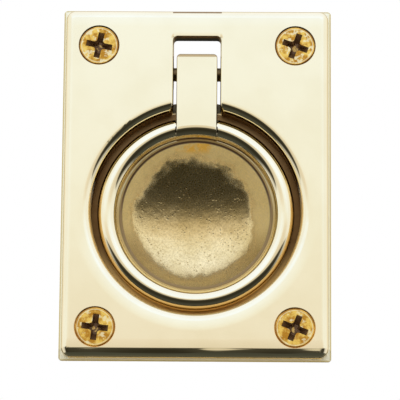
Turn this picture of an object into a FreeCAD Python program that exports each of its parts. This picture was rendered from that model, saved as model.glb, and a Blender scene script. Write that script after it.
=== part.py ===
import FreeCAD, Part
import math
import os

# Ring pull handle for a cabinet door, drawer or hatch, in millimetres.
# The backplate stands upright: +Z is up, the face looks along -Y and the wall is at +Y.
# The origin is the centre of the four screws, on the back face of the plate.

# Ring: a bar with crowned faces bent into a circle, forged in one with a flat stem
ring_bar_width = 4.5
ring_bar_depth = 4.4
ring_crown_radius = 3.0
ring_edge_round = 0.5
ring_set_back = 0.65
stem_width = 9.6
stem_head = 4.35
stem_corner_round = 0.9
stem_edge_round = 0.45
stem_heel_round = 1.8
stem_foot_round = 3.2
knuckle_wall = 1.6

# Hinge pin and the two saddles that hold it on the back of the plate
pin_diameter = 3.2
pin_chamfer = 0.3
pin_running_gap = 0.05
pin_end_inset = 0.4
saddle_length = 5.4
saddle_wall = 2.0
saddle_mouth = 2.2

# Face plate, with a narrow bevelled foot round its edge
plate_width = 63.5
plate_height = 84.7
plate_thickness = 4.0
plate_corner_round = 2.2
plate_edge_round = 1.9
foot_height = 0.9
foot_flare = 0.65
foot_land = 0.25
foot_corner_round = 0.8

# The middle of the plate lies a little above the middle of the four screws
plate_rise = 1.0

# Flat borders of the face beside, above and below the opening, and the slot above the recess
side_border = 5.15
top_border = 7.23
bottom_border = 8.87
neck_length = 17.4

# Recess that the ring lies in, as large as the borders leave room for
ring_hang = 0.5
ring_side_gap = 1.5
ring_seat_gap = 0.3
recess_lip_round = 2.0
cup_wall = 2.7
cup_back_wall = 2.0
cup_back_round = 1.2

# Slot that the stem lies in
slot_side_gap = 0.76
slot_top_gap = 4.2
slot_corner_round = 0.9
slot_edge_round = 0.7
slot_top_round = 1.2
slot_mouth_round = 1.4

# Dish for the fingertips, sunk into the floor of the recess: a steep side and a crowned floor
dish_ledge = 0.95
dish_side_width = 3.8
dish_side_angle = 50.0
dish_corner_radius = 3.0
dish_crown_radius = 45.0
dish_rim_round = 0.5

# Flat-head wood screws with cross recesses
screw_inset_x = 8.51
screw_inset_z = 8.41
screw_head_diameter = 9.3
screw_head_angle = 82.0
screw_head_land = 0.3
screw_head_round = 0.22
screw_head_sink = 0.2
screw_seat_gap = 0.03
screw_neck_round = 1.35
screw_shank_diameter = 4.17
screw_shank_length = 8.0
screw_core_diameter = 3.1
screw_shank_taper = 0.7
screw_length = 19.05
screw_point_length = 5.0
screw_point_diameter = 0.4
screw_hole_gap = 0.3
cross_span = 6.25
cross_arm_width = 1.45
cross_corner_round = 0.65
cross_depth = 2.5
cross_floor_span = 2.6
cross_floor_width = 0.8
cross_floor_corner = 0.3
screw_turns = {
    "screw_top_left": 11.5,
    "screw_top_right": 19.3,
    "screw_bottom_left": 6.5,
    "screw_bottom_right": 21.0,
}

# How far a cutting body runs past the surface that it opens
overcut = 1.0

# Places worked out from the sizes above
face_y = -plate_thickness
bar_half = ring_bar_width / 2
room_across = plate_width / 2 - side_border - recess_lip_round
room_upright = (plate_height - top_border - neck_length - recess_lip_round - bottom_border) / 2
recess_radius = min(room_across, room_upright)
recess_z = plate_rise + bottom_border + recess_lip_round + recess_radius - plate_height / 2
slot_top_z = plate_rise + plate_height / 2 - top_border
hinge_height = slot_top_z - slot_top_gap - stem_head
ring_mid_radius = recess_radius - ring_side_gap - bar_half
ring_inner_radius = ring_mid_radius - bar_half
ring_front_y = face_y + ring_set_back
ring_back_y = ring_front_y + ring_bar_depth
ring_z = recess_z - ring_hang
floor_y = ring_back_y + ring_seat_gap
dish_rim_radius = ring_inner_radius - dish_ledge
dish_side_slope = math.radians(dish_side_angle)
dish_side_foot = dish_rim_radius - dish_side_width
dish_crown_gap = dish_crown_radius - dish_corner_radius
dish_crown_slope = math.asin((dish_side_foot - dish_corner_radius * math.sin(dish_side_slope))
                             / dish_crown_gap)
dish_depth = (dish_side_width * math.tan(dish_side_slope) + dish_crown_radius
              - dish_crown_gap * math.cos(dish_crown_slope)
              - dish_corner_radius * math.cos(dish_side_slope))
dish_floor_y = floor_y + dish_depth
knuckle_radius = pin_diameter / 2 + knuckle_wall
pin_y = face_y + knuckle_radius
pin_reach = stem_width / 2 + slot_side_gap + saddle_length - pin_end_inset
slot_width = stem_width + 2 * slot_side_gap
screw_x = plate_width / 2 - screw_inset_x
screw_z = plate_height / 2 - screw_inset_z
head_slope = math.tan(math.radians(screw_head_angle / 2))
head_y = face_y + screw_head_sink
diagonal = math.sqrt(0.5)

ACROSS = FreeCAD.Vector(1, 0, 0)
INWARD = FreeCAD.Vector(0, 1, 0)


def point(x, y, z):
    return FreeCAD.Vector(x, y, z)


def line(a, b):
    return Part.LineSegment(a, b).toShape()


def arc(a, middle, b):
    return Part.Arc(a, middle, b).toShape()


def rounded_rectangle(width, low_z, high_z, corner, y):
    """Closed outline in the plane at y, from low_z to high_z, with round corners."""
    half = width / 2
    inner_x = half - corner
    inner_low = low_z + corner
    inner_high = high_z - corner
    bulge = corner * diagonal
    edges = [
        line(point(-inner_x, y, high_z), point(inner_x, y, high_z)),
        arc(point(inner_x, y, high_z), point(inner_x + bulge, y, inner_high + bulge),
            point(half, y, inner_high)),
        line(point(half, y, inner_high), point(half, y, inner_low)),
        arc(point(half, y, inner_low), point(inner_x + bulge, y, inner_low - bulge),
            point(inner_x, y, low_z)),
        line(point(inner_x, y, low_z), point(-inner_x, y, low_z)),
        arc(point(-inner_x, y, low_z), point(-inner_x - bulge, y, inner_low - bulge),
            point(-half, y, inner_low)),
        line(point(-half, y, inner_low), point(-half, y, inner_high)),
        arc(point(-half, y, inner_high), point(-inner_x - bulge, y, inner_high + bulge),
            point(-inner_x, y, high_z)),
    ]
    return Part.Wire(edges)


def prism(outline, depth):
    """Solid between a closed outline and its copy moved into the wall by depth."""
    return Part.Face(outline).extrude(INWARD * depth)


def turned(edges, axis_z):
    """Solid of revolution about the line that runs into the wall at height axis_z."""
    shape = Part.Face(Part.Wire(edges)).revolve(point(0, 0, 0), INWARD, 360)
    shape.translate(point(0, 0, axis_z))
    return shape


def profile(*points):
    """Straight edges through (radius, y) points, for a solid of revolution."""
    corners = [point(r, y, 0) for r, y in points]
    return [line(a, b) for a, b in zip(corners, corners[1:])]


def bend(centre, radius, start, end):
    """Arc round a (radius, y) centre; its angles are 0 at the front and grow outwards."""
    places = [point(centre[0] + radius * math.sin(a), centre[1] - radius * math.cos(a), 0)
              for a in (start, (start + end) / 2, end)]
    return arc(*places)


def crowned_side(crown, front_y, side):
    """Half of a crowned front, from its middle to the side of the bar: two arcs."""
    reach = bar_half - ring_edge_round
    turn = math.asin(reach / (crown - ring_edge_round))
    centre_y = front_y + crown
    edge_y = centre_y - (crown - ring_edge_round) * math.cos(turn)
    edge_centre = (ring_mid_radius + side * reach, edge_y)
    return [bend((ring_mid_radius, centre_y), crown, 0, side * turn),
            bend(edge_centre, ring_edge_round, side * turn, side * math.pi / 2)]


def flat_at(edge, y):
    box = edge.BoundBox
    return abs(box.YMin - y) < 1e-4 and abs(box.YMax - y) < 1e-4


def face_plate():
    """Plate with a rounded front edge, standing on its bevelled foot."""
    body_width = plate_width - 2 * foot_flare
    body_half = plate_height / 2 - foot_flare
    body_low = plate_rise - body_half
    body_high = plate_rise + body_half
    outline = rounded_rectangle(body_width, body_low, body_high, plate_corner_round, face_y)
    body = prism(outline, plate_thickness - foot_height)
    front = [edge for edge in body.Edges if flat_at(edge, face_y)]
    body = body.makeFillet(plate_edge_round, front)
    foot_outline = rounded_rectangle(plate_width, plate_rise - plate_height / 2,
                                     plate_rise + plate_height / 2, foot_corner_round, -foot_land)
    bevel = Part.makeLoft([
        rounded_rectangle(body_width, body_low, body_high, plate_corner_round, -foot_height),
        foot_outline,
    ], True, True)
    return body.fuse([bevel, prism(foot_outline, foot_land)])


def dish_profile(wall):
    """Dish from the level of the recess floor to its centre, at a distance behind its front."""
    crown_y = dish_floor_y - dish_crown_radius
    corner_r = dish_crown_gap * math.sin(dish_crown_slope)
    corner_y = crown_y + dish_crown_gap * math.cos(dish_crown_slope)
    corner_radius = dish_corner_radius + wall
    crown_radius = dish_crown_radius + wall
    foot_r = corner_r + corner_radius * math.sin(dish_side_slope)
    foot_y = corner_y + corner_radius * math.cos(dish_side_slope)
    rim_r = foot_r + (foot_y - floor_y) / math.tan(dish_side_slope)
    side = profile((rim_r, floor_y), (foot_r, foot_y))
    corner = bend((corner_r, corner_y), corner_radius, math.pi - dish_side_slope,
                  math.pi - dish_crown_slope)
    crown = bend((0, crown_y), crown_radius, math.pi - dish_crown_slope, math.pi)
    return side + [corner, crown]


def recess_cutter():
    """Everything that is open in front of the recess floor and the dish."""
    lip = recess_lip_round
    lip_radius = recess_radius + lip
    front = face_y - overcut
    edges = profile((0, front), (lip_radius, front), (lip_radius, face_y))
    edges.append(arc(point(lip_radius, face_y, 0),
                     point(lip_radius - lip * diagonal, face_y + lip * (1 - diagonal), 0),
                     point(recess_radius, face_y + lip, 0)))
    edges += profile((recess_radius, face_y + lip), (recess_radius, floor_y),
                     (dish_rim_radius, floor_y))
    edges += dish_profile(0)
    edges += profile((0, dish_floor_y), (0, front))
    return turned(edges, recess_z)


def cup():
    """Outside of the casting behind the plate: the ring's pan, then the dish."""
    pan_radius = recess_radius + cup_wall
    pan_back = floor_y + cup_back_wall
    front = face_y + plate_thickness / 2
    pan = turned(profile((0, front), (pan_radius, front), (pan_radius, pan_back),
                         (0, pan_back), (0, front)), recess_z)
    pan_rim = [edge for edge in pan.Edges if flat_at(edge, pan_back)]
    pan = pan.makeFillet(cup_back_round, pan_rim)
    wall = dish_profile(cup_back_wall)
    start = wall[0].Vertexes[0].Point
    bowl = turned(profile((0, floor_y), (start.x, floor_y)) + wall
                  + profile((0, dish_floor_y + cup_back_wall), (0, floor_y)), recess_z)
    shape = pan.fuse(bowl)
    valley = [edge for edge in shape.Edges
              if flat_at(edge, pan_back) and edge.BoundBox.XMax < start.x]
    return shape.makeFillet(cup_back_round, valley)


def slot_cutter():
    """Straight-sided opening for the stem, down to the floor of the recess."""
    outline = rounded_rectangle(slot_width, recess_z, slot_top_z, slot_corner_round,
                                face_y - overcut)
    return prism(outline, floor_y - face_y + overcut)


def countersink(x, z):
    """Hole for one screw, a little wider than the screw's shank and head."""
    hole_radius = screw_shank_diameter / 2 + screw_hole_gap
    head_radius = screw_head_diameter / 2 + screw_seat_gap
    mouth_radius = head_radius + (head_y - face_y) * head_slope
    land_y = head_y + screw_head_land
    cone_y = land_y + (head_radius - hole_radius) / head_slope
    cutter = turned(profile((0, face_y - overcut), (mouth_radius, face_y - overcut),
                            (mouth_radius, face_y), (head_radius, head_y),
                            (head_radius, land_y), (hole_radius, cone_y),
                            (hole_radius, overcut), (0, overcut), (0, face_y - overcut)), z)
    cutter.translate(point(x, 0, 0))
    return cutter


def saddle(side):
    """Round boss beside the slot, grooved from the back to take one end of the pin."""
    start = side * slot_width / 2
    boss_radius = pin_diameter / 2 + saddle_wall
    boss = Part.makeCylinder(boss_radius, saddle_length, point(start, pin_y, hinge_height),
                             ACROSS * side)
    keep = Part.makeBox(saddle_length, boss_radius + plate_thickness, 2 * boss_radius)
    keep.translate(point(min(start, start + side * saddle_length), -plate_thickness / 2,
                         hinge_height - boss_radius))
    return boss.common(keep)


def pin_groove():
    """Seat of the pin, with a mouth narrower than the pin, closed over it by peening."""
    reach = slot_width / 2 + saddle_length + overcut
    seat = Part.makeCylinder(pin_diameter / 2, 2 * reach, point(-reach, pin_y, hinge_height),
                             ACROSS)
    mouth_depth = pin_diameter / 2 + saddle_wall + overcut
    mouth = Part.makeBox(2 * reach, mouth_depth, saddle_mouth)
    mouth.translate(point(-reach, pin_y, hinge_height - saddle_mouth / 2))
    return seat.fuse(mouth)


def slot_round_at(place):
    """Radius of the slot's rounded edge at one of its corners."""
    if place.y > face_y + recess_lip_round - 1e-3:
        return slot_mouth_round
    if place.z > slot_top_z - 1e-3:
        return slot_top_round
    return slot_edge_round


def slot_edge_radii(shape):
    """Number, start radius and end radius of each edge of the slot that is rounded.

    They are the front edges, and beside the mouth of the slot the edges that run down over the
    lip and the wall of the recess.
    """
    half = slot_width / 2
    lip_back = face_y + recess_lip_round
    lip_top = recess_z + recess_radius + recess_lip_round
    chosen = []
    for number, edge in enumerate(shape.Edges, 1):
        box = edge.BoundBox
        within = max(abs(box.XMin), abs(box.XMax)) < half + 1e-3
        beside = min(abs(box.XMin), abs(box.XMax)) > half - 1e-3
        above_dish = box.ZMin > recess_z + dish_rim_radius
        over_lip = beside and box.ZMax < lip_top and box.YMax < lip_back + 1e-3
        down_wall = beside and box.ZMax < lip_top and abs(box.YMin - lip_back) < 1e-3
        if within and above_dish and (flat_at(edge, face_y) or over_lip or down_wall):
            ends = [edge.valueAt(edge.FirstParameter), edge.valueAt(edge.LastParameter)]
            chosen.append((number, slot_round_at(ends[0]), slot_round_at(ends[1])))
    return chosen


def graded_fillet(shape, edge_radii):
    """Fillet whose radius may change along an edge."""
    document = FreeCAD.newDocument()
    base = document.addObject("Part::Feature", "base")
    base.Shape = shape
    fillet = document.addObject("Part::Fillet", "fillet")
    fillet.Base = base
    fillet.Edges = edge_radii
    document.recompute()
    rounded = fillet.Shape.copy()
    FreeCAD.closeDocument(document.Name)
    return rounded


def dish_rim(shape):
    return [edge for edge in shape.Edges
            if flat_at(edge, floor_y) and abs(edge.BoundBox.XLength - 2 * dish_rim_radius) < 1e-3]


def backplate():
    shape = face_plate().fuse(cup())
    shape = shape.fuse([saddle(1), saddle(-1)])
    shape = shape.cut(recess_cutter())
    shape = shape.makeFillet(dish_rim_round, dish_rim(shape))
    shape = shape.cut(slot_cutter())
    shape = shape.removeSplitter()
    shape = graded_fillet(shape, slot_edge_radii(shape))
    holes = [countersink(side * screw_x, level * screw_z)
             for side in (-1, 1) for level in (-1, 1)]
    shape = shape.cut(holes)
    return shape.cut(pin_groove())


def stem_foot_cutter():
    """Rounds the foot of the stem down to the inner side of the ring."""
    start = face_y - overcut
    back = ring_back_y + overcut
    crown, corner = crowned_side(stem_foot_round, face_y, -1)
    side_y = corner.Vertexes[-1].Point.y
    edges = profile((0, start), (ring_mid_radius, start), (ring_mid_radius, face_y))
    edges += [crown, corner]
    edges += profile((ring_inner_radius, side_y), (ring_inner_radius, back), (0, back), (0, start))
    return turned(edges, ring_z)


def stem():
    """Flat bar level with the face, with its knuckle round the pin."""
    thickness = ring_back_y - face_y
    top = hinge_height + stem_head
    half = stem_width / 2
    bar = Part.makeBox(stem_width, thickness, top - ring_z)
    bar.translate(point(-half, face_y, ring_z))
    corners = []
    heel = []
    for edge in bar.Edges:
        box = edge.BoundBox
        if box.ZMin > top - 1e-4 and box.YLength > thickness / 2:
            corners.append(edge)
        elif box.ZMin > top - 1e-4 and box.YMin > ring_back_y - 1e-4:
            heel.append(edge)
    bar = bar.makeFillet(stem_heel_round, heel)
    corners = [edge for edge in bar.Edges
               if edge.BoundBox.ZMin > top - 1e-4 and edge.BoundBox.YLength > 1e-3]
    bar = bar.makeFillet(stem_corner_round, corners)
    front = [edge for edge in bar.Edges
             if flat_at(edge, face_y) and edge.BoundBox.ZMax > ring_z + 1e-3]
    bar = bar.makeFillet(stem_edge_round, front)
    knuckle = Part.makeCylinder(knuckle_radius, stem_width, point(-half, pin_y, hinge_height),
                                ACROSS)
    behind = Part.makeBox(stem_width, 2 * knuckle_radius, 2 * knuckle_radius)
    behind.translate(point(-half, pin_y, hinge_height - knuckle_radius))
    return bar.fuse(knuckle.common(behind))


def hoop():
    """Ring without its stem: the crowned front, mirrored to make the back, turned about its axis."""
    front = crowned_side(ring_crown_radius, ring_front_y, 1)
    front += crowned_side(ring_crown_radius, ring_front_y, -1)
    middle = point(0, (ring_front_y + ring_back_y) / 2, 0)
    back = [edge.mirror(middle, INWARD) for edge in front]
    outer_y = front[1].Vertexes[-1].Point.y
    sides = []
    for radius in (ring_mid_radius + bar_half, ring_inner_radius):
        sides += profile((radius, outer_y), (radius, 2 * middle.y - outer_y))
    outline = Part.__sortEdges__(front + back + sides)
    return turned(outline, ring_z)


def ring():
    handle = hoop().fuse(stem().cut(stem_foot_cutter()))
    reach = stem_width / 2 + overcut
    bore = Part.makeCylinder(pin_diameter / 2 + pin_running_gap, 2 * reach,
                             point(-reach, pin_y, hinge_height), ACROSS)
    return handle.cut(bore)


def hinge_pin():
    pin = Part.makeCylinder(pin_diameter / 2, 2 * pin_reach,
                            point(-pin_reach, pin_y, hinge_height), ACROSS)
    ends = [edge for edge in pin.Edges if edge.BoundBox.XLength < 1e-3]
    return pin.makeChamfer(pin_chamfer, ends)


def cross_outline(span, width, corner, y):
    """Closed outline of a cross with rounded inner corners, in the plane at y."""
    far = span / 2
    near = width / 2
    out = near + corner
    middle = out - corner * diagonal
    places = [point(far, y, -near), point(far, y, near), point(out, y, near),
              point(middle, y, middle), point(near, y, out), point(near, y, far)]
    edges = []
    for quarter in range(4):
        turn = FreeCAD.Rotation(INWARD, -90 * quarter)
        low, high, inner, waist, outer, following = [turn.multVec(place) for place in places]
        edges += [line(low, high), line(high, inner), arc(inner, waist, outer),
                  line(outer, following)]
    return Part.Wire(edges)


def cross_recess():
    """Recess for a cross driver, narrowing as it goes in."""
    return Part.makeLoft([
        cross_outline(cross_span, cross_arm_width, cross_corner_round, 0),
        cross_outline(cross_floor_span, cross_floor_width, cross_floor_corner, cross_depth),
    ], True, True)


def screw(name, x, z):
    """Flat-head wood screw; its thread is left plain at the core size."""
    head = screw_head_diameter / 2
    shank = screw_shank_diameter / 2
    core = screw_core_diameter / 2
    tip = screw_point_diameter / 2
    half_angle = math.radians(screw_head_angle / 2)
    neck = screw_neck_round * math.tan(half_angle / 2)
    corner_y = screw_head_land + (head - shank) / head_slope
    neck_start = (shank + neck * math.sin(half_angle), corner_y - neck * math.cos(half_angle))
    neck_centre = (shank + screw_neck_round, corner_y + neck)
    neck_middle = point(neck_centre[0] - screw_neck_round * math.cos(half_angle / 2),
                        neck_centre[1] - screw_neck_round * math.sin(half_angle / 2), 0)
    rim = head - screw_head_round
    edges = profile((0, 0), (rim, 0))
    edges.append(bend((rim, screw_head_round), screw_head_round, 0, math.pi / 2))
    edges += profile((head, screw_head_round), (head, screw_head_land), neck_start)
    edges.append(arc(point(*neck_start, 0), neck_middle, point(shank, neck_centre[1], 0)))
    edges += profile((shank, neck_centre[1]), (shank, screw_shank_length),
                     (core, screw_shank_length + screw_shank_taper),
                     (core, screw_length - screw_point_length),
                     (tip, screw_length), (0, screw_length), (0, 0))
    body = turned(edges, 0)
    body = body.cut(cross_recess())
    body.rotate(point(0, 0, 0), INWARD, screw_turns[name])
    body.translate(point(x, head_y, z))
    return body


def build():
    parts = {"backplate": backplate(), "ring": ring(), "hinge_pin": hinge_pin()}
    for level, z in (("top", screw_z), ("bottom", -screw_z)):
        for side, x in (("left", -screw_x), ("right", screw_x)):
            name = "screw_" + level + "_" + side
            parts[name] = screw(name, x, z)
    return parts


os.makedirs("parts", exist_ok=True)
for name, shape in build().items():
    solids = shape.Solids
    kept = solids[0] if len(solids) == 1 else shape
    kept.exportStep("parts/" + name + ".step")
    print(name, "valid", kept.isValid(), "solids", len(solids), "volume", round(kept.Volume, 1))
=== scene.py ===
import math
from types import SimpleNamespace

import bpy
from mathutils import Matrix, Vector


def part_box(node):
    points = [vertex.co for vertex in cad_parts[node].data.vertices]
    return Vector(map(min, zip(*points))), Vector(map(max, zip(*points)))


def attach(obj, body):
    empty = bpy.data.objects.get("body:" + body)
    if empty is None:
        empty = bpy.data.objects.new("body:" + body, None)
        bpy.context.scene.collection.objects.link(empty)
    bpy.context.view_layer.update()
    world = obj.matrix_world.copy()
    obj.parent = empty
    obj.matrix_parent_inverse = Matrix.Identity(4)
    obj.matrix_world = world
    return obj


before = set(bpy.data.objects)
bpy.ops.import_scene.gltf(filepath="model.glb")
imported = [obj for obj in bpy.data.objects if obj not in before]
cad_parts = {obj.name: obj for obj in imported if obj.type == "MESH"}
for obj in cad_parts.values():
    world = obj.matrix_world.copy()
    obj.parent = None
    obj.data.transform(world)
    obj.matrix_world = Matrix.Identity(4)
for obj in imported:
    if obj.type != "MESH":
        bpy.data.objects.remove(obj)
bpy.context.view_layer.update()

MM = 0.001

# Where the part's own features stand in the frame: the front is -Y and up is +Z.
FACE_Y = -4.0 * MM
HEAD_Y = -3.8 * MM
CUP_Z = -5.88 * MM
RING_Z = -6.38 * MM
BAR_RADIUS = 20.85 * MM
PLATE_MIDDLE_Z = 1.0 * MM
SCREW_X, SCREW_Z = 23.24 * MM, 33.94 * MM
SCREW_NAMES = ["screw_top_left", "screw_top_right", "screw_bottom_left", "screw_bottom_right"]

# Soft edges of the areas, in mm: a share is 0 at the first figure and 1 at the second.
# Radii from the cup's axis, from the lip inward.
GOLD_LIP_OUTSIDE, GOLD_LIP_INSIDE = (25.25, 25.05), (24.5, 24.6)
CUP_OUTSIDE = (24.8, 25.0)
CUP_WALL = (24.95, 24.75)
RIM_OUTSIDE, RIM_INSIDE = (19.7, 19.5), (17.3, 17.5)
RIM_WALL = (18.6, 18.9)
RIM_TOP_DARK, RIM_TOP_LIGHT, RIM_TOP_BROWN = (18.7, 18.85), (18.15, 18.3), (17.8, 17.95)
RIM_LOW_LIGHT = (18.1, 18.3)
DISH_EDGE = (17.95, 17.6)
# Depths along Y; the plate's face is at -4 and its back at 0.
SLOT_FRONT, SLOT_BACK = (-3.7, -3.45), (1.75, 1.55)
SLOT_TOP_FRONT = (-3.45, -3.65)
SLOT_SHADE = (-2.4, -1.8)
LIP_BOTTOM = (-2.05, -1.85)
GOLD_LIP_FRONT = (-1.7, -2.05)
EDGE_WALL_FRONT, EDGE_WALL_BACK = (-2.2, -2.0), (-0.86, -0.92)
FOOT_FRONT = (-0.93, -0.88)
PLATE_BACK = (0.02, 0.06)
RIM_FRONT = (1.0, 1.2)
DISH_FRONT = (1.42, 1.75)
# Heights above the cup's axis.
STAIN_BOTTOM = (15.0, 16.2)
CHANNEL_TOP, CHANNEL_LOW = (6.0, 20.0), (-6.0, -22.0)
RIM_HIGH = (-2.0, 7.0)
DISH_UPPER = (-11.0, -1.0)
LIP_LOW = (4.0, -12.0)
GOLD_LIP_TOP = (8.0, 0.0)
# Heights in the frame.
SLOT_FOOT = (18.2, 18.8)
SLOT_TOP_LOW, SLOT_TOP_HIGH = (36.0, 36.2), (37.6, 37.3)
BASE = (-36.0, -37.0)
UNDER = (-38.4, -38.8)
CREASE_LOW, CREASE_HIGH = (12.7, 12.9), (14.35, 14.1)
STEM_FOOT = (10.0, 12.0)
STEM_END, STEM_END_FADE = (31.00, 31.30), (31.75, 31.9)
# Distances from the middle line, sideways.
SLOT_SIDE = (5.85, 5.75)
SLOT_TOP_SIDE = (6.3, 5.3)
STAIN_SIDE = (6.0, 3.0)
CREASE_INSIDE, CREASE_OUTSIDE = (4.62, 4.72), (5.1, 4.95)
STEM_SIDE = (4.9, 4.75)
# Distances from the plate's middle, sideways and upright.
FOOT_SIDE, FOOT_END = (31.10, 31.16), (41.70, 41.76)
FOOT_OUTER_SIDE, FOOT_OUTER_END = (31.2, 31.7), (41.8, 42.3)
FOOT_CORNER_SIDE, FOOT_CORNER_END = (29.0, 29.1), (39.6, 39.7)
EDGE_WALL_END = (41.55, 41.65)
# Distances from the ring's axis, from the middle of its bar and from a screw's axis.
FLANK_INSIDE, FLANK_OUTSIDE = (22.70, 22.85), (23.6, 23.4)
CROWN = (3.2, 2.4)
COUNTERSINK = (5.0, 4.92)
CROSS_RADIUS, CROSS_CENTRE = (3.4, 3.3), (0.85, 0.55)
LINE_INSIDE, LINE_OUTSIDE = (3.95, 4.1), (4.3, 4.15)
HEAD_RIM = (4.2, 4.35)
# Depths below the plate's face, and below the top of a screw's head.
SUNK = (0.01, 0.04)
CROSS_TOP, CROSS_BOTTOM = (0.04, 0.22), (2.7, 2.6)
CROSS_DEEP = (1.9, 2.3)
HEAD_RIM_DEPTH = (0.6, 0.5)

# Swells that bend the shading as polishing does: where they start and how far they run, in mm,
# and their strength per metre. The height grows with the square of the distance.
END_SWELL = (37.6, 3.0, 10.0)
LOW_LIP_SWELL = (29.0, 3.4, 13.0)
HIGH_LIP_SWELL = (27.3, 2.6, 22.0)
BASE_SWELL_START, BASE_SWELL_RUN, BASE_SWELL = (39.8, 40.2), 0.9, 230.0
CROWN_SWELL = 90.0

# The dish: the radius of its hollow and the places, low and high, where its steeper border
# begins and ends, in mm; how much steeper the border is, in radians, and the hollow's upward
# lean; and how far its outline strays, in mm and as a share of X.
HOLLOW_RADIUS = 34.0
BORDER_BEGIN, BORDER_END = (10.6, 12.4), (18.4, 15.8)
BORDER_SLOPE, HOLLOW_LEAN = 0.60, 0.13
STRAY_WIDE, STRAY_FINE, STRAY_ASIDE = 5.0, 1.6, 0.05

# Heights of fine relief, in metres.
WAVE_HEIGHT, HAIR_HEIGHT = 0.004 * MM, 0.0002 * MM
LUMP_HEIGHT, GRAIN_HEIGHT, PIT_DEPTH = 0.06 * MM, 0.012 * MM, 0.03 * MM
DRAWN_HEIGHT, TURNED_HEIGHT = 0.004 * MM, 0.006 * MM

# Colours, as linear red, green and blue.
BUFFED_DEEP, BUFFED_LIGHT = (0.925, 0.81, 0.545), (0.95, 0.84, 0.58)
CAST_DARK, CAST_LIGHT = (0.82, 0.61, 0.27), (1.0, 0.78, 0.40)
CAST_GRIME, CAST_PIT = (0.40, 0.27, 0.10), (0.26, 0.16, 0.06)
# Painted shade on the dish's lower border and painted light on its upper border; the grime is the
# metal's own.
DISH_PAINTED_SHADE, DISH_PAINTED_LIGHT, DISH_GRIME = (0.42, 0.28, 0.07), (1.0, 0.74, 0.27), (0.36, 0.24, 0.08)
ORANGE_STAIN = (1.0, 0.56, 0.09)
# Painted shade in the channel, the slot and the countersinks, with painted light low in the channel
# and a painted reflection high in it.
CHANNEL_PAINTED_SHADE_DEEP, CHANNEL_PAINTED_SHADE_PALE = (0.15, 0.075, 0.022), (0.24, 0.13, 0.045)
CHANNEL_LOW_PAINTED_LIGHT, CHANNEL_TOP_PAINTED_REFLECTION = (0.95, 0.62, 0.22), (0.50, 0.33, 0.16)
SLOT_PAINTED_SHADE = (0.16, 0.135, 0.09)
# Painted shade and painted light lines on the dish's rim, below and above the cup's axis.
RIM_LOW_LIGHT_AND_SHADE = ((0.34, 0.21, 0.065), (0.80, 0.55, 0.18))
RIM_HIGH_LIGHT_AND_SHADE = ((0.12, 0.06, 0.018), (0.62, 0.40, 0.13), (1.0, 0.84, 0.45),
                  (0.05, 0.046, 0.032))
# The foot's outer band is painted darker as shade.
FOOT_PALE, FOOT_PAINTED_SHADE = (0.98, 0.88, 0.60), (0.66, 0.50, 0.18)
# Golden lines painted on the lip and on the bottom edge's wall as reflections.
LIP_PAINTED_REFLECTION, UNDER_PAINTED_REFLECTION = (0.86, 0.50, 0.12), (0.95, 0.56, 0.10)
# Painted shade in the ring's inner corners by the stem, and a painted reflection as a golden line
# on its flank.
CREASE_PAINTED_SHADE, FLANK_PAINTED_REFLECTION = (0.09, 0.07, 0.045), (0.72, 0.48, 0.10)
# Brown band painted as shade on the stem's top end.
STEM_END_PAINTED_SHADE = (0.46, 0.29, 0.11)
# The pin's colours are darkened as painted shade.
PIN_PAINTED_SHADE_DEEP, PIN_PAINTED_SHADE_PALE = (0.10, 0.065, 0.03), (0.24, 0.16, 0.07)
SCREW_DARK, SCREW_LIGHT = (0.52, 0.235, 0.025), (0.95, 0.62, 0.13)
# The pale line near the head's edge is a painted highlight; the pale patches are the metal's own.
SCREW_PALE, SCREW_EDGE_HIGHLIGHT = (1.0, 0.88, 0.52), (1.0, 0.86, 0.50)
# Painted shade on the head's rim, with crescents of painted light.
SCREW_RIM_PAINTED_SHADE, SCREW_RIM_PAINTED_LIGHT = (0.46, 0.20, 0.035), (0.90, 0.52, 0.10)
# Painted shade in the cross recess and a painted glint deep at its centre.
CROSS_PAINTED_SHADE, CROSS_PAINTED_GLINT = (0.22, 0.11, 0.04), (1.0, 0.62, 0.16)
FLOOR_DARK, FLOOR_LIGHT = (0.84, 0.84, 0.84), (0.88, 0.88, 0.88)
WHITE = (1.0, 1.0, 1.0)


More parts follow.
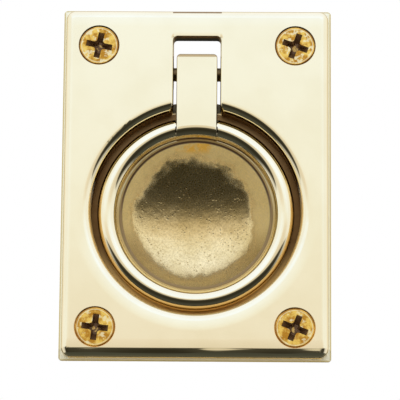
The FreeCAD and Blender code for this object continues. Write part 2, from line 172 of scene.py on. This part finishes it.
class Graph:
    """Adds shader nodes to a tree and links them."""

    # Places of the first input and of the output of each kind of mix node.
    MIX_SOCKETS = {"FLOAT": (2, 0), "VECTOR": (4, 1), "RGBA": (6, 2)}

    def __init__(self, tree):
        self.tree = tree
        tree.nodes.clear()

    def add(self, kind, inputs=None, **settings):
        node = self.tree.nodes.new(kind)
        for name, value in settings.items():
            setattr(node, name, value)
        for name, value in (inputs or {}).items():
            self.put(node.inputs[name], value)
        return node

    def put(self, socket, value):
        """Links another node's output to the socket, or sets the socket to a constant."""
        if isinstance(value, bpy.types.NodeSocket):
            self.tree.links.new(value, socket)
        elif socket.type == "RGBA":
            socket.default_value = (*value, 1.0)
        else:
            socket.default_value = value

    def operate(self, kind, operation, values):
        node = self.add(kind, operation=operation)
        for socket, value in zip(node.inputs, values):
            self.put(socket, value)
        return node

    def math(self, operation, *values):
        return self.operate("ShaderNodeMath", operation, values).outputs[0]

    def vector(self, operation, *values):
        node = self.operate("ShaderNodeVectorMath", operation, values)
        return node.outputs["Value" if operation == "LENGTH" else "Vector"]

    def scale(self, vector, factor):
        node = self.operate("ShaderNodeVectorMath", "SCALE", (vector,))
        self.put(node.inputs["Scale"], factor)
        return node.outputs["Vector"]

    def split(self, vector):
        """X, Y and Z of a vector."""
        return self.add("ShaderNodeSeparateXYZ", {"Vector": vector}).outputs[:]

    def flat(self, vector):
        """The vector without its Y."""
        return self.vector("MULTIPLY", vector, (1.0, 0.0, 1.0))

    def chain(self, operation, values):
        result = values[0]
        for value in values[1:]:
            result = self.math(operation, result, value)
        return result

    def times(self, *values):
        return self.chain("MULTIPLY", values)

    def most(self, *values):
        return self.chain("MAXIMUM", values)

    def invert(self, share):
        return self.math("SUBTRACT", 1.0, share)

    def ramp(self, value, low, high, start=0.0, end=1.0):
        """Smooth step from start, where value is low, to end, where it is high."""
        node = self.add("ShaderNodeMapRange", {"Value": value, "From Min": low, "From Max": high,
                                               "To Min": start, "To Max": end},
                        interpolation_type="SMOOTHSTEP")
        return node.outputs[0]

    def edge(self, length, limits, origin=0.0, start=0.0, end=1.0):
        """Soft edge of an area: the limits are in mm beyond the origin."""
        low, high = (origin + limit * MM for limit in limits)
        return self.ramp(length, low, high, start, end)

    def swell(self, distance, run, strength, share=1.0):
        """Height that grows with the square of a distance, from 0 until it has run in mm."""
        along = self.math("MINIMUM", self.most(distance, 0.0), run * MM)
        return self.times(along, along, share, strength)

    def between(self, kind, share, a, b):
        """Output of a mix node of this kind, from a to b."""
        first, result = self.MIX_SOCKETS[kind]
        node = self.add("ShaderNodeMix", data_type=kind)
        for place, value in ((0, share), (first, a), (first + 1, b)):
            self.put(node.inputs[place], value)
        return node.outputs[result]

    def mix(self, share, a, b):
        """Colour a where share is 0, colour b where it is 1."""
        return self.between("RGBA", share, a, b)

    def blend(self, share, a, b):
        """Number a where share is 0, number b where it is 1."""
        return self.between("FLOAT", share, a, b)

    def lean(self, share, a, b):
        """Direction a where share is 0, direction b where it is 1."""
        return self.vector("NORMALIZE", self.between("VECTOR", share, a, b))

    def noise(self, vector, scale, detail=2.0, roughness=0.5):
        node = self.add("ShaderNodeTexNoise", {"Vector": vector, "Scale": scale, "Detail": detail,
                                               "Roughness": roughness})
        return node.outputs["Fac"]

    def bump(self, height, distance=1.0, normal=None):
        """Normal of a surface raised by height times distance."""
        node = self.add("ShaderNodeBump", {"Height": height, "Distance": distance, "Strength": 1.0})
        if normal is not None:
            self.put(node.inputs["Normal"], normal)
        return node.outputs[0]

    def palette(self, value, stops):
        """Colour ramp through (place, colour) stops, with places from 0 to 1."""
        node = self.add("ShaderNodeValToRGB", {"Fac": value})
        elements = node.color_ramp.elements
        while len(elements) < len(stops):
            elements.new(0.5)
        for element, (place, colour) in zip(elements, stops):
            element.position = place
            element.color = (*colour, 1.0)
        return node.outputs[0]

    def metal(self, colour, roughness, normal, share=1.0):
        """Surface of bare metal; a share under 1 leaves a dull film over it."""
        shader = self.add("ShaderNodeBsdfPrincipled", {
            "Base Color": colour, "Metallic": share, "Roughness": roughness, "Normal": normal})
        self.output("ShaderNodeOutputMaterial", shader)

    def output(self, kind, shader):
        self.put(self.add(kind).inputs["Surface"], shader.outputs[0])


def new_material(name):
    material = bpy.data.materials.new(name)
    material.use_nodes = True
    graph = Graph(material.node_tree)
    return material, graph, graph.add("ShaderNodeTexCoord")


def buffed(graph, place):
    """Colour, roughness and height in metres of buffed brass: mottling, soft waves, hairlines."""
    mottle = graph.noise(place, 90.0, 3.0)
    colour = graph.mix(graph.ramp(mottle, 0.35, 0.65), BUFFED_DEEP, BUFFED_LIGHT)
    hairs = graph.noise(graph.vector("MULTIPLY", place, (2600.0, 900.0, 320.0)), 1.0, 3.0, 0.6)
    roughness = graph.math("ADD", 0.04, graph.times(hairs, 0.03))
    waves = graph.noise(place, 160.0, 1.0)
    height = graph.math("ADD", graph.times(waves, WAVE_HEIGHT), graph.times(hairs, HAIR_HEIGHT))
    return colour, roughness, height


def cast_skin(graph, place):
    """Colour, grit and height in metres of brass left as cast: uneven, grainy and pitted."""
    cloud = graph.noise(place, 130.0, 4.0, 0.6)
    swell = graph.noise(place, 430.0, 2.0, 0.5)
    grit = graph.noise(place, 2300.0, 4.0, 0.7)
    cells = graph.add("ShaderNodeTexVoronoi", {"Vector": place, "Scale": 1500.0,
                                               "Randomness": 1.0}, feature="F1")
    shallow = graph.ramp(cells.outputs["Distance"], 0.12, 0.36)
    sparse = graph.ramp(graph.noise(place, 330.0, 2.0), 0.47, 0.60)
    pit = graph.times(sparse, graph.invert(shallow))
    colour = graph.mix(graph.ramp(cloud, 0.3, 0.7), CAST_DARK, CAST_LIGHT)
    colour = graph.mix(graph.times(graph.ramp(grit, 0.42, 0.62), 0.35), colour, CAST_GRIME)
    colour = graph.mix(graph.times(pit, 0.55), colour, CAST_PIT)
    height = graph.math("ADD", graph.times(swell, LUMP_HEIGHT), graph.times(grit, GRAIN_HEIGHT))
    height = graph.math("SUBTRACT", height, graph.times(pit, PIT_DEPTH))
    return colour, grit, height


def plate_areas(graph, coordinates):
    """Coordinates on the plate and the shares, from 0 to 1, of its areas."""
    place = coordinates.outputs["Object"]
    x, depth, z = graph.split(place)
    across = graph.math("ABSOLUTE", x)
    from_cup = graph.flat(graph.vector("SUBTRACT", place, (0.0, 0.0, CUP_Z)))
    radius = graph.vector("LENGTH", from_cup)
    from_middle = graph.vector("SUBTRACT", place, (0.0, 0.0, PLATE_MIDDLE_Z))
    aside, _, upright = graph.split(graph.vector("ABSOLUTE", from_middle))
    _, turned_back, _ = graph.split(coordinates.outputs["Normal"])
    turned_front = graph.ramp(turned_back, 0.25, 0.05)

    channel = graph.times(graph.edge(depth, LIP_BOTTOM), graph.edge(radius, CUP_WALL),
                          graph.edge(radius, RIM_WALL))
    dish = graph.times(graph.edge(depth, DISH_FRONT), graph.edge(radius, DISH_EDGE), turned_front)
    rim = graph.times(graph.edge(radius, RIM_INSIDE), graph.edge(radius, RIM_OUTSIDE),
                      graph.edge(depth, RIM_FRONT), turned_front)
    slot = graph.times(graph.edge(across, SLOT_SIDE), graph.edge(depth, SLOT_FRONT),
                       graph.edge(depth, SLOT_BACK), graph.edge(z, SLOT_FOOT))
    slot_top = graph.times(graph.edge(across, SLOT_TOP_SIDE), graph.edge(z, SLOT_TOP_LOW),
                           graph.edge(z, SLOT_TOP_HIGH), graph.edge(depth, SLOT_TOP_FRONT))
    from_screw = graph.vector("SUBTRACT", graph.flat(graph.vector("ABSOLUTE", place)),
                              (SCREW_X, 0.0, SCREW_Z))
    countersink = graph.times(graph.edge(graph.vector("LENGTH", from_screw), COUNTERSINK),
                              graph.edge(depth, SUNK, FACE_Y))
    cup_outside = graph.times(graph.edge(depth, PLATE_BACK), graph.edge(radius, CUP_OUTSIDE))
    back = graph.times(graph.most(graph.ramp(turned_back, 0.3, 0.6), cup_outside),
                       graph.invert(slot))
    foot_corner = graph.times(graph.edge(aside, FOOT_CORNER_SIDE),
                              graph.edge(upright, FOOT_CORNER_END), graph.edge(depth, FOOT_FRONT))
    foot = graph.times(graph.most(graph.edge(aside, FOOT_SIDE), graph.edge(upright, FOOT_END),
                                  foot_corner), graph.invert(back))
    under = graph.edge(z, UNDER)
    under_wall = graph.times(graph.edge(upright, EDGE_WALL_END), under,
                             graph.edge(depth, EDGE_WALL_FRONT), graph.edge(depth, EDGE_WALL_BACK))
    gold_lip = graph.times(graph.edge(radius, GOLD_LIP_OUTSIDE),
                           graph.edge(radius, GOLD_LIP_INSIDE),
                           graph.edge(depth, GOLD_LIP_FRONT), graph.edge(z, GOLD_LIP_TOP, CUP_Z))
    upper = graph.edge(z, DISH_UPPER, CUP_Z)
    return SimpleNamespace(
        place=place, x=x, depth=depth, z=z, across=across, from_cup=from_cup, radius=radius,
        aside=aside, upright=upright, channel=channel, dish=dish, rim=rim, slot=slot,
        slot_top=slot_top, countersink=countersink, back=back, foot=foot, under=under,
        under_wall=under_wall, gold_lip=gold_lip, upper=upper)


def plate_swells(graph, at, height):
    """Height of the polished face, rounded off toward its lip, its ends and its bottom edge."""
    start, run, strength = END_SWELL
    to_end = graph.math("SUBTRACT", at.upright, start * MM)
    height = graph.math("SUBTRACT", height, graph.swell(to_end, run, strength))
    lower = graph.edge(at.z, LIP_LOW, CUP_Z)
    for (start, run, strength), share in ((LOW_LIP_SWELL, lower),
                                          (HIGH_LIP_SWELL, graph.invert(lower))):
        to_lip = graph.math("SUBTRACT", start * MM, at.radius)
        height = graph.math("SUBTRACT", height, graph.swell(to_lip, run, strength, share))
    near, far = (limit * MM for limit in BASE_SWELL_START)
    wander = graph.ramp(graph.noise(at.x, 28.0, 1.0), 0.3, 0.7, near, far)
    to_base = graph.swell(graph.math("SUBTRACT", at.upright, wander), BASE_SWELL_RUN, BASE_SWELL,
                          graph.edge(at.z, BASE))
    return graph.math("ADD", height, to_base)


def dish_slope(graph, at):
    """Normal of the hollow dish, and the share of its steep, filmed border."""
    uneven = graph.math("SUBTRACT", graph.noise(at.place, 130.0, 3.0, 0.6), 0.5)
    ragged = graph.math("SUBTRACT", graph.noise(at.place, 560.0, 3.0, 0.6), 0.5)
    reach = at.radius
    for shift in (graph.times(uneven, STRAY_WIDE * MM), graph.times(at.x, STRAY_ASIDE),
                  graph.times(ragged, STRAY_FINE * MM)):
        reach = graph.math("ADD", reach, shift)
    begin, finish = (graph.blend(at.upper, low * MM, high * MM)
                     for low, high in (BORDER_BEGIN, BORDER_END))
    steep = graph.times(graph.ramp(reach, begin, finish), at.dish)
    slope = graph.math("ADD", graph.math("DIVIDE", at.radius, HOLLOW_RADIUS * MM),
                       graph.ramp(reach, begin, finish, 0.0, BORDER_SLOPE))
    outward = graph.scale(graph.vector("NORMALIZE", at.from_cup), graph.math("SINE", slope))
    deeper = graph.add("ShaderNodeCombineXYZ", {
        "X": 0.0, "Y": graph.math("COSINE", slope), "Z": HOLLOW_LEAN}).outputs[0]
    hollow = graph.scale(graph.vector("ADD", outward, deeper), -1.0)
    own = graph.add("ShaderNodeNewGeometry").outputs["Normal"]
    return graph.lean(at.dish, own, hollow), steep


def rim_light_and_shade(graph, at):
    """Painted light and shade as rings of colour on the dish's rim, which differ above and below
    the cup's axis.
    """
    inner, outer = RIM_LOW_LIGHT_AND_SHADE
    low = graph.mix(graph.edge(at.radius, RIM_LOW_LIGHT), inner, outer)
    high = RIM_HIGH_LIGHT_AND_SHADE[0]
    for limits, tint in zip((RIM_TOP_BROWN, RIM_TOP_LIGHT, RIM_TOP_DARK), RIM_HIGH_LIGHT_AND_SHADE[1:]):
        high = graph.mix(graph.edge(at.radius, limits), high, tint)
    return graph.mix(graph.edge(at.z, RIM_HIGH, CUP_Z), low, high)


def channel_light_and_shade(graph, at):
    """Painted shade in the channel round the ring, in the slot and in the countersinks, with
    painted light low in the channel and a painted brown reflection high in it.
    """
    tint = graph.mix(graph.noise(at.place, 700.0, 3.0, 0.6), CHANNEL_PAINTED_SHADE_DEEP, CHANNEL_PAINTED_SHADE_PALE)
    tint = graph.mix(graph.edge(at.z, CHANNEL_LOW, CUP_Z), tint, CHANNEL_LOW_PAINTED_LIGHT)
    top = graph.times(graph.edge(at.z, CHANNEL_TOP, CUP_Z), 0.4)
    tint = graph.mix(top, tint, CHANNEL_TOP_PAINTED_REFLECTION)
    # Deeper painted shade on the slot's walls, away from its mouth.
    return graph.mix(graph.times(at.slot, graph.edge(at.depth, SLOT_SHADE)), tint, SLOT_PAINTED_SHADE)


def plate_brass():
    """Buffed face and lip, cast dish and back, painted shade in the channel, slot and countersinks,
    and golden edges that are painted reflections; painted light and shade on the rim, the dish's
    border and the foot.
    """
    material, graph, coordinates = new_material("plate_brass_finish")
    at = plate_areas(graph, coordinates)
    colour, roughness, height = buffed(graph, at.place)
    height = plate_swells(graph, at, height)
    skin, grit, skin_height = cast_skin(graph, at.place)
    hollow, steep = dish_slope(graph, at)

    # The dish's steep border gets painted shade low down and painted light higher up, with grime in
    # its grit.
    film = graph.mix(at.upper, DISH_PAINTED_SHADE, DISH_PAINTED_LIGHT)
    film = graph.mix(graph.times(graph.ramp(grit, 0.42, 0.60), 0.30), film, DISH_GRIME)
    skin = graph.mix(graph.times(steep, 0.75), skin, film)
    patchy = graph.ramp(graph.noise(at.place, 420.0, 3.0, 0.6), 0.38, 0.60)
    stain = graph.times(graph.edge(at.z, STAIN_BOTTOM, CUP_Z), graph.edge(at.across, STAIN_SIDE),
                        at.dish, patchy)
    skin = graph.mix(stain, skin, ORANGE_STAIN)

    cast = graph.most(at.dish, at.back)
    # Hollows where shade is painted into the colour and the metal is duller.
    shaded_hollows = graph.most(at.channel, at.slot, at.countersink)
    satin = graph.most(at.rim, at.foot)
    # The foot's outer band, where shade is painted.
    outer_foot = graph.most(graph.edge(at.aside, FOOT_OUTER_SIDE),
                            graph.edge(at.upright, FOOT_OUTER_END))
    # The golden lines on the lip and the bottom edge's wall are painted reflections.
    for share, tint in ((graph.times(at.gold_lip, 0.9), LIP_PAINTED_REFLECTION),
                        (shaded_hollows, channel_light_and_shade(graph, at)),
                        (cast, skin),
                        (at.rim, rim_light_and_shade(graph, at)),
                        (at.foot, graph.mix(outer_foot, FOOT_PALE, FOOT_PAINTED_SHADE)),
                        (at.under_wall, UNDER_PAINTED_REFLECTION)):
        colour = graph.mix(share, colour, tint)
    for share, dull in ((shaded_hollows, 0.40), (cast, graph.blend(grit, 0.20, 0.33)), (satin, 0.35)):
        roughness = graph.blend(share, roughness, dull)
    film_share = graph.most(graph.times(steep, graph.blend(at.upper, 0.60, 0.92)),
                            graph.times(at.foot, 0.5),
                            graph.times(graph.most(at.gold_lip, at.under_wall), 0.7),
                            graph.times(at.rim, 0.9))

    normal = graph.lean(cast, graph.bump(height), graph.bump(skin_height, 1.0, hollow))
    level = graph.most(graph.times(at.slot_top, 0.95), graph.times(at.foot, at.under, 0.9))
    normal = graph.lean(level, normal, (0.0, -1.0, 0.0))
    graph.metal(colour, roughness, normal, graph.invert(film_share))
    return material


def ring_brass():
    """Buffed, with a rounder crown, a golden line on the flank that is a painted reflection, and
    painted shade in the inner corners and at the stem's end.
    """
    material, graph, coordinates = new_material("ring_brass_finish")
    place = coordinates.outputs["Object"]
    colour, roughness, height = buffed(graph, place)
    x, _, z = graph.split(place)
    across = graph.math("ABSOLUTE", x)
    reach = graph.vector("LENGTH", graph.flat(graph.vector("SUBTRACT", place,
                                                           (0.0, 0.0, RING_Z))))
    off_stem = graph.invert(graph.times(graph.edge(across, STEM_SIDE), graph.edge(z, STEM_FOOT)))
    crease = graph.times(graph.edge(across, CREASE_INSIDE), graph.edge(across, CREASE_OUTSIDE),
                         graph.edge(z, CREASE_LOW), graph.edge(z, CREASE_HIGH))
    flank = graph.times(graph.edge(reach, FLANK_INSIDE), graph.edge(reach, FLANK_OUTSIDE),
                        off_stem)
    # Painted shade on the stem's top end, fading a little above it.
    stem_end = graph.times(graph.edge(z, STEM_END),
                           graph.edge(z, STEM_END_FADE, start=1.0, end=0.55))
    # Painted shade in the crease, a painted reflection on the flank and painted shade at the stem's
    # end.
    for share, tint in ((crease, CREASE_PAINTED_SHADE), (graph.times(flank, 0.8), FLANK_PAINTED_REFLECTION),
                        (graph.times(stem_end, 0.85), STEM_END_PAINTED_SHADE)):
        colour = graph.mix(share, colour, tint)
    from_bar = graph.math("SUBTRACT", reach, BAR_RADIUS)
    crown = graph.times(graph.edge(graph.math("ABSOLUTE", from_bar), CROWN), off_stem)
    height = graph.math("SUBTRACT", height, graph.times(from_bar, from_bar, crown, CROWN_SWELL))
    graph.metal(colour, roughness, graph.bump(height))
    return material


def pin_brass():
    """Darkened as painted shade, with fine lines along the pin."""
    material, graph, coordinates = new_material("pin_brass_finish")
    stretched = graph.vector("MULTIPLY", coordinates.outputs["Object"], (150.0, 5000.0, 5000.0))
    drawn = graph.noise(stretched, 1.0, 3.0, 0.6)
    colour = graph.mix(drawn, PIN_PAINTED_SHADE_DEEP, PIN_PAINTED_SHADE_PALE)
    graph.metal(colour, graph.blend(drawn, 0.28, 0.42), graph.bump(drawn, DRAWN_HEIGHT))
    return material


def screw_brass(name, x, z):
    """Turned brass: fine circles round the screw's own axis, a rim with painted shade and painted
    light, a painted highlight near the head's edge, and painted shade with a painted glint in the
    recess.
    """
    material, graph, coordinates = new_material(name + "_finish")
    place = coordinates.outputs["Object"]
    _, depth, _ = graph.split(place)
    radius = graph.vector("LENGTH", graph.flat(graph.vector("SUBTRACT", place, (x, 0.0, z))))
    patches = graph.noise(place, 620.0, 4.0, 0.65)
    pale = graph.ramp(graph.noise(place, 900.0, 2.0), 0.54, 0.66)
    # A pale ring painted near the head's edge as a highlight.
    line = graph.times(graph.edge(radius, LINE_INSIDE), graph.edge(radius, LINE_OUTSIDE))
    # The head's rim, painted dark as shade with crescents of painted light.
    rim = graph.times(graph.edge(radius, HEAD_RIM), graph.edge(depth, HEAD_RIM_DEPTH, HEAD_Y))
    rim_light = graph.ramp(graph.noise(place, 240.0, 1.0), 0.48, 0.60)
    # Painted shade in the cross recess, and a painted glint at its deep centre.
    cross_bottom = graph.edge(depth, CROSS_BOTTOM, HEAD_Y)
    cross = graph.times(graph.edge(radius, CROSS_RADIUS), graph.edge(depth, CROSS_TOP, HEAD_Y),
                        cross_bottom)
    painted_glint = graph.times(graph.edge(radius, CROSS_CENTRE), graph.edge(depth, CROSS_DEEP, HEAD_Y),
                        cross_bottom, graph.ramp(graph.noise(place, 1100.0, 1.0), 0.44, 0.56))
    colour = graph.mix(graph.ramp(patches, 0.38, 0.62), SCREW_DARK, SCREW_LIGHT)
    for share, tint in ((graph.times(pale, 0.7), SCREW_PALE),
                        (graph.times(line, 0.6), SCREW_EDGE_HIGHLIGHT),
                        (graph.times(rim, 0.9),
                         graph.mix(rim_light, SCREW_RIM_PAINTED_SHADE, SCREW_RIM_PAINTED_LIGHT)),
                        (cross, CROSS_PAINTED_SHADE),
                        (painted_glint, CROSS_PAINTED_GLINT)):
        colour = graph.mix(share, colour, tint)
    circles = graph.math("SINE", graph.times(radius, 42000.0))
    height = graph.math("ADD", graph.times(circles, 0.25), patches)
    roughness = graph.blend(cross, graph.blend(patches, 0.20, 0.34), 0.40)
    share = graph.invert(graph.times(cross, 0.6))
    graph.metal(colour, roughness, graph.bump(height, TURNED_HEIGHT), share)
    return material


def link(name, mesh):
    """New object of the mesh, in the scene."""
    piece = bpy.data.objects.new(name, mesh)
    bpy.context.scene.collection.objects.link(piece)
    return piece


def thread(name, x, z, tip_y):
    """Wood-screw thread wound on the plain core of a screw."""
    pitch, length, point = 1.69 * MM, 10.6 * MM, 5.0 * MM
    core, crest, sunk = 1.55 * MM, 2.07 * MM, 0.06 * MM
    half_root, half_crest, blunt_end = 0.46 * MM, 0.05 * MM, 0.5 * MM
    narrowing, flank_left, crest_left, faintest = 0.87, 0.45, 0.35, 0.02
    steps, turns_in, turns_out = 56, 0.6, 0.8
    start_y = tip_y - length
    point_y = tip_y - point
    turns = (tip_y - blunt_end - start_y) / pitch
    count = int(turns * steps)
    points, faces = [], []
    for i in range(count + 1):
        angle = 2 * math.pi * i / steps
        y = start_y + pitch * i / steps
        fade = min(1.0, i / (turns_in * steps), (count - i) / (turns_out * steps))
        taper = 1.0 - max(0.0, (y - point_y) / (tip_y - point_y)) * narrowing
        root = core * taper
        rise = crest_left + (1.0 - crest_left) * taper
        top = root + (crest - core) * max(fade, faintest) * rise
        base = root - sunk
        half = half_root * (flank_left + (1.0 - flank_left) * taper)
        c, s = math.cos(angle), math.sin(angle)
        for radius, shift in ((base, -half), (top, -half_crest), (top, half_crest), (base, half)):
            points.append((x + radius * c, y + shift, z + radius * s))
    for i in range(count):
        a, b = 4 * i, 4 * i + 4
        for k in range(3):
            faces.append((a + k, b + k, b + k + 1, a + k + 1))
        faces.append((a + 3, b + 3, b, a))
    end = 4 * count
    faces += [(0, 1, 2, 3), (end + 3, end + 2, end + 1, end)]
    mesh = bpy.data.meshes.new(name)
    mesh.from_pydata(points, [], faces)
    mesh.update()
    return link(name, mesh)


def dress(node_name, material):
    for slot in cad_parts[node_name].material_slots:
        slot.material = material


def studio():
    """White backdrop and soft light from all round, dark in front from just below eye level."""
    world = bpy.data.worlds.new("studio")
    world.use_nodes = True
    bpy.context.scene.world = world
    graph = Graph(world.node_tree)
    direction = graph.add("ShaderNodeTexCoord").outputs["Generated"]
    x, y, z = graph.split(direction)
    to_degrees = 180.0 / math.pi
    tilt = graph.times(graph.math("ARCTAN2", z, graph.times(y, -1.0)), to_degrees)
    aside = graph.math("ABSOLUTE", graph.times(graph.math("ARCSINE", x), to_degrees))

    def at(degrees):
        """Place on a palette of a tilt above the level, as seen from the part to the front."""
        return (degrees + 180.0) / 360.0

    place = graph.math("DIVIDE", graph.math("ADD", tilt, 180.0), 360.0)
    front = graph.palette(place, [
        (at(-180), (0.60, 0.55, 0.45)),
        (at(-140), (0.45, 0.42, 0.34)),
        (at(-120), (0.075, 0.080, 0.066)),
        (at(-60), (0.060, 0.064, 0.056)),
        (at(-25), (0.026, 0.024, 0.016)),
        (at(-6.0), (0.062, 0.060, 0.048)),
        (at(-2.8), (0.68, 0.64, 0.54)),
        (at(9.7), (0.88, 0.85, 0.81)),
        (at(12.5), (0.95, 1.0, 1.04)),
        (at(16.5), (0.99, 1.10, 1.28)),
        (at(30), (1.02, 1.19, 1.60)),
        (at(180), WHITE),
    ])
    side = graph.palette(place, [
        (at(-180), (0.95, 0.95, 0.95)),
        (at(-90), (0.80, 0.80, 0.80)),
        (at(-20), (0.76, 0.77, 0.78)),
        (at(5), (0.95, 1.00, 1.06)),
        (at(60), (0.97, 1.04, 1.14)),
        (at(180), (0.95, 0.93, 0.88)),
    ])
    above_level = graph.ramp(tilt, -7.0, 0.0)
    to_side = graph.ramp(aside, graph.blend(above_level, 50.0, 25.0),
                         graph.blend(above_level, 74.0, 60.0))
    rear = graph.mix(graph.ramp(z, -0.10, 0.10), (0.065, 0.065, 0.05), (0.60, 0.52, 0.34))
    colour = graph.mix(graph.ramp(y, 0.45, 0.75), graph.mix(to_side, front, side), rear)
    room, backdrop = (graph.add("ShaderNodeBackground", {"Color": light, "Strength": 1.0})
                      for light in (colour, WHITE))
    seen = graph.add("ShaderNodeLightPath").outputs["Is Camera Ray"]
    both = graph.add("ShaderNodeMixShader")
    for socket, value in zip(both.inputs, (seen, room.outputs[0], backdrop.outputs[0])):
        graph.put(socket, value)
    graph.output("ShaderNodeOutputWorld", both)


def floor():
    """Pale floor, well below the handle, that the brass doesn't mirror."""
    size, level = 3.0, -0.9
    corners = [(x * size, y * size, level) for x, y in ((-1, -1), (1, -1), (1, 1), (-1, 1))]
    mesh = bpy.data.meshes.new("floor")
    mesh.from_pydata(corners, [], [(0, 1, 2, 3)])
    plane = link("floor", mesh)
    material, graph, coordinates = new_material("pale_floor")
    clouds = graph.noise(coordinates.outputs["Object"], 6.0, 3.0)
    colour = graph.mix(clouds, FLOOR_DARK, FLOOR_LIGHT)
    graph.output("ShaderNodeOutputMaterial",
                 graph.add("ShaderNodeBsdfDiffuse", {"Color": colour}))
    mesh.materials.append(material)
    plane.visible_glossy = False


def camera():
    """Stands where the photograph was taken: below the handle, looking up at it."""
    yaw, pitch, roll = (math.radians(a) for a in (0.746, 13.056, 0.476))
    position = Vector((10.257, -716.52, -168.90)) * MM
    sensor, photo_pixels, focal_pixels = 36.0, 400.0, 3124.0
    data = bpy.data.cameras.new("camera")
    data.sensor_width = sensor
    data.lens = focal_pixels / photo_pixels * sensor
    data.clip_start, data.clip_end = 0.01, 20.0
    turn = Matrix.Rotation(yaw, 3, "Z") @ Matrix.Rotation(pitch, 3, "X")
    right, ahead, up = (turn @ Vector(v) for v in ((1, 0, 0), (0, 1, 0), (0, 0, 1)))
    across = math.cos(roll) * right + math.sin(roll) * up
    upright = math.cos(roll) * up - math.sin(roll) * right
    matrix = Matrix((across, upright, -ahead)).transposed().to_4x4()
    matrix.translation = position
    eye = link("camera", data)
    eye.matrix_world = matrix
    bpy.context.scene.camera = eye


dress("backplate", plate_brass())
dress("ring", ring_brass())
dress("hinge_pin", pin_brass())
for screw_name in SCREW_NAMES:
    low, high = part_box(screw_name)
    centre_x, centre_z = (low.x + high.x) / 2, (low.z + high.z) / 2
    finish = screw_brass(screw_name, centre_x, centre_z)
    dress(screw_name, finish)
    winding = thread("thread_" + screw_name[6:], centre_x, centre_z, high.y)
    winding.data.materials.append(finish)
    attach(winding, "plate")

studio()
floor()
camera()
bpy.context.scene.view_settings.view_transform = "Standard"
